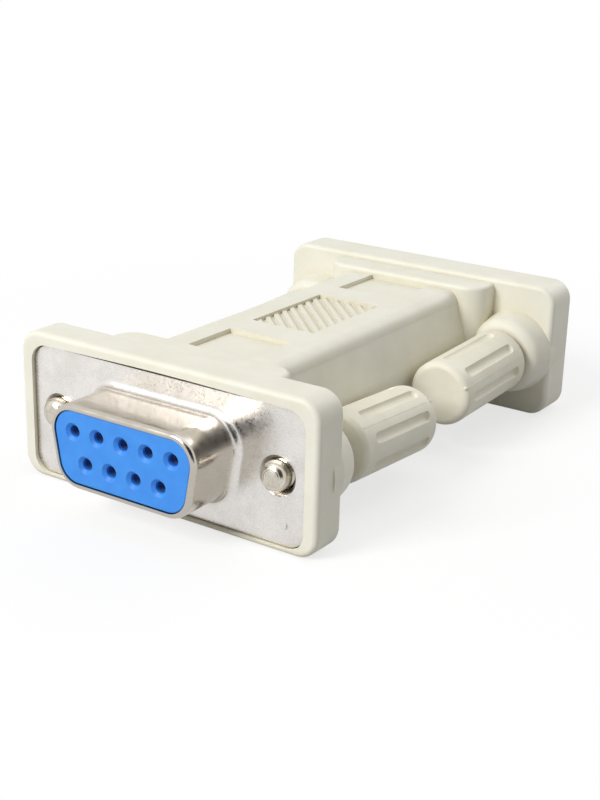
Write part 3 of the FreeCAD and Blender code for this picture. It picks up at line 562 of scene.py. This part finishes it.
# %% Mould marks on the knobs
KNOB_RADIUS = 3.35 * MM
KNOB_LENGTH = 13.0 * MM
KNOB_END_ROUND = 0.7 * MM
KNOB_BASE_ROUND = 0.5 * MM
LINE_WIDTH = 0.12 * MM
LINE_HEIGHT = 0.03 * MM
LINE_SINK = 0.03 * MM
NUB_RADIUS = 0.2 * MM
NUB_HEIGHT_SHARE = 0.8
NUB_SINK_SHARE = 0.75
SIDE_ROWS = 24
ROUND_ROWS = 14
FACE_ROWS = 11
LINE_ANGLES = {("front", "left"): 135.0, ("front", "right"): 45.0, ("rear", "left"): 157.5,
               ("rear", "right"): 22.5}


def knob_outline():
    """Half of a knob's outline from its base to the middle of its end.

    It runs straight up the side, round a quarter circle at the end and straight in to the axis. Each
    point comes with the direction that points out of the knob there.
    """
    side = np.linspace(KNOB_BASE_ROUND, KNOB_LENGTH - KNOB_END_ROUND, SIDE_ROWS)
    angle = np.linspace(0, math.pi / 2, ROUND_ROWS)
    inner = KNOB_RADIUS - KNOB_END_ROUND
    face = np.linspace(inner, 0, FACE_ROWS + 1)[1:]
    radius = np.concatenate([np.full(SIDE_ROWS, KNOB_RADIUS), inner + KNOB_END_ROUND * np.cos(angle), face])
    place = np.concatenate([side, KNOB_LENGTH - KNOB_END_ROUND + KNOB_END_ROUND * np.sin(angle),
                            np.full(FACE_ROWS, KNOB_LENGTH)])
    out_radius = np.concatenate([np.ones(SIDE_ROWS), np.cos(angle), np.zeros(FACE_ROWS)])
    out_place = np.concatenate([np.zeros(SIDE_ROWS), np.sin(angle), np.ones(FACE_ROWS)])
    return radius, place, out_radius, out_place


def mould_line(base, along, outward):
    """Rings of the raised line: a flat triangle carried over the knob in the plane of two directions."""
    radius, place, out_radius, out_place = knob_outline()
    radius = np.concatenate([radius, -radius[-2::-1]])
    place = np.concatenate([place, place[-2::-1]])
    out_radius = np.concatenate([out_radius, -out_radius[-2::-1]])
    out_place = np.concatenate([out_place, out_place[-2::-1]])
    sideways = np.cross(along, outward)
    path = base + radius[:, None] * outward + place[:, None] * along
    out = out_radius[:, None] * outward + out_place[:, None] * along
    left = path - LINE_SINK * out - LINE_WIDTH / 2 * sideways
    crest = path + LINE_HEIGHT * out
    right = path - LINE_SINK * out + LINE_WIDTH / 2 * sideways
    rings = np.stack([left, crest, right], axis=1)
    return rings, rings[0].mean(axis=0), rings[-1].mean(axis=0)


def gate_nub(centre, out, rows=8, columns=16):
    """A small rounded bump: an ellipsoid cut off below its middle, standing out along one direction.

    The helper is any direction that is not the bump's own; crossed with it, it gives the two that are
    square to the bump.
    """
    helper = np.cross(out, np.array([0.3, 0.5, 0.8]))
    first = helper / np.linalg.norm(helper)
    second = np.cross(out, first)
    height, angle = np.meshgrid(np.linspace(-0.5, 1.0, rows + 2)[1:-1] * math.pi / 2,
                                np.linspace(0, 2 * math.pi, columns, endpoint=False), indexing="ij")
    outward = np.cos(angle)[..., None] * first + np.sin(angle)[..., None] * second
    upward = NUB_HEIGHT_SHARE * np.sin(height)[..., None] * out
    rings = centre + NUB_RADIUS * (np.cos(height)[..., None] * outward + upward)
    return rings, centre - NUB_RADIUS * NUB_SINK_SHARE * out, centre + NUB_RADIUS * NUB_HEIGHT_SHARE * out


for end, hand in CORNERS:
    tip, forward, across, upward = screw_axis(end, hand)
    base = tip - SCREW_REACH * forward
    angle = math.radians(LINE_ANGLES[end, hand])
    outward = math.cos(angle) * across + math.sin(angle) * upward * np.sign(upward[2])
    body = "grip_%s_%s" % (end, hand)
    rings, first, last = mould_line(base, -forward, outward)
    closed_skin("mould_line_%s_%s" % (end, hand), rings, first, last, body, knob_plastic)
    corner = math.sqrt(0.5)
    out = corner * (outward - forward)
    centre = (base + (KNOB_RADIUS - KNOB_END_ROUND * (1 - corner)) * outward
              - (KNOB_LENGTH - KNOB_END_ROUND * (1 - corner)) * forward)
    rings, first, last = gate_nub(centre, out)
    closed_skin("gate_nub_%s_%s" % (end, hand), rings, first, last, body, knob_plastic)
print("mould marks:", 2 * len(CORNERS))

# %% [markdown]
# The adapter stands on a pale floor in soft light. The key lamp in front, on the left and above gives the
# bright front and the darker right side; a wide lamp overhead lights the tops, a weaker one behind keeps
# the far end from going dull, and the sky fills in the rest. The floor takes the shadow close to the
# adapter and turns into plain white further out, so no horizon shows.

# %% Floor
FLOOR_RADIUS = 0.9
FLOOR_CORNERS = 64
FLOOR_DROP = 0.02 * MM
NEAR_GLOW = 0.72
GLOW_SPAN = (0.03, 0.085)
CARD_BOUNCE = 0.5
CARD_SEEN = 0.97


def seen_ray(tree, path):
    """1 where the camera, a reflection or a transmitted ray looks, and 0 for all other light."""
    seen = path.outputs["Is Camera Ray"]
    for kind in ("Is Glossy Ray", "Is Transmission Ray"):
        seen = add_node(tree, "ShaderNodeMath", {"operation": "MAXIMUM"}, _0=seen,
                        _1=path.outputs[kind]).outputs[0]
    return seen


def pale_floor():
    """Near the object the floor is white card in the lamps' light; further out it glows plain white."""
    material, tree, shader = start_material("pale_floor", Roughness=0.9, IOR=1.2)
    output = tree.nodes["Material Output"]
    distance = add_node(tree, "ShaderNodeVectorMath", {"operation": "LENGTH"},
                        _0=place_on_object(tree)).outputs["Value"]
    far = remap(tree, distance, *GLOW_SPAN, NEAR_GLOW, 1.0)
    path = add_node(tree, "ShaderNodeLightPath")
    bounce = (*[CARD_BOUNCE] * 3, 1.0)
    card = blend_colours(tree, path.outputs["Is Camera Ray"], bounce, (*[CARD_SEEN] * 3, 1.0))
    tree.links.new(card, shader.inputs["Base Color"])
    share = add_node(tree, "ShaderNodeMath", {"operation": "MULTIPLY"}, _0=far,
                     _1=seen_ray(tree, path)).outputs[0]
    glow = add_node(tree, "ShaderNodeEmission", Color=(1.0, 1.0, 1.0, 1.0), Strength=1.0)
    mix = add_node(tree, "ShaderNodeMixShader", _0=share, _1=shader.outputs[0], _2=glow.outputs[0])
    tree.links.new(mix.outputs[0], output.inputs["Surface"])
    return material


floor_mesh = bpy.data.meshes.new("floor")
rim = np.linspace(0, 2 * math.pi, FLOOR_CORNERS, endpoint=False)
floor_points = np.stack([FLOOR_RADIUS * np.cos(rim), FLOOR_RADIUS * np.sin(rim),
                         np.full(FLOOR_CORNERS, -FLOOR_DROP)], axis=-1)
floor_mesh.from_pydata(floor_points.tolist(), [], [list(range(FLOOR_CORNERS))])
floor_mesh.materials.append(pale_floor())
floor = bpy.data.objects.new("floor", floor_mesh)
bpy.context.scene.collection.objects.link(floor)
print("floor radius in m:", FLOOR_RADIUS)


# %% Lamps and sky
AIM = (0.0, 0.0, 0.007)
SKY_STRENGTH = 0.31


def soft_lamp(name, place, aim, size, power):
    """A square area lamp that points at a place on the object."""
    light = bpy.data.lights.new(name, "AREA")
    light.shape = "SQUARE"
    light.size = size
    light.energy = power
    lamp = bpy.data.objects.new(name, light)
    lamp.location = place
    lamp.rotation_mode = "QUATERNION"
    lamp.rotation_quaternion = (Vector(aim) - Vector(place)).to_track_quat("-Z", "Y")
    bpy.context.scene.collection.objects.link(lamp)


soft_lamp("key_lamp", (-0.14, -0.43, 0.32), AIM, 0.22, 2.45)
soft_lamp("top_lamp", (0.06, 0.06, 0.50), AIM, 0.55, 0.45)
soft_lamp("back_lamp", (0.10, 0.46, 0.26), AIM, 0.30, 0.8)


def studio_sky(strength):
    """A plain sky: dimmer as light, plain white where the camera or a reflection sees it."""
    world = bpy.data.worlds.new("studio_sky")
    world.use_nodes = True
    tree = world.node_tree
    background = tree.nodes["Background"]
    background.inputs["Color"].default_value = (1.0, 0.995, 0.98, 1.0)
    seen = seen_ray(tree, add_node(tree, "ShaderNodeLightPath"))
    tree.links.new(remap(tree, seen, 0.0, 1.0, strength, 1.0), background.inputs["Strength"])
    bpy.context.scene.world = world


studio_sky(SKY_STRENGTH)
bpy.context.scene.view_settings.view_transform = "Standard"

# %% [markdown]
# Polished metal shows whatever stands round it. In a white room it looks like grey paint, so a studio
# sets up something dark for it to reflect. Here a dark card stands where a photographer would, and only
# reflections see it: it draws the dark streak along the shell's upper corner.

# %% Dark card for reflections
CARD_MIDDLE = Vector((0.52, -0.78, 0.34)) * 0.25
CARD_WIDTH = 0.3
card_mesh = bpy.data.meshes.new("dark_card")
facing = CARD_MIDDLE.normalized()
level = facing.cross(Vector((0.0, 0.0, 1.0))).normalized() * CARD_WIDTH / 2
steep = facing.cross(level)
card_corners = [CARD_MIDDLE + level + steep, CARD_MIDDLE - level + steep, CARD_MIDDLE - level - steep,
                CARD_MIDDLE + level - steep]
card_mesh.from_pydata([list(corner) for corner in card_corners], [], [[0, 1, 2, 3]])
card_paint, _, _ = start_material("dark_card", Base_Color=(0.02, 0.02, 0.02, 1.0), Roughness=0.9)
card_mesh.materials.append(card_paint)
dark_card = bpy.data.objects.new("dark_card", card_mesh)
bpy.context.scene.collection.objects.link(dark_card)
dark_card.visible_camera = False
dark_card.visible_diffuse = False
dark_card.visible_shadow = False
dark_card.visible_transmission = False
print("dark card at m:", [round(value, 3) for value in CARD_MIDDLE])
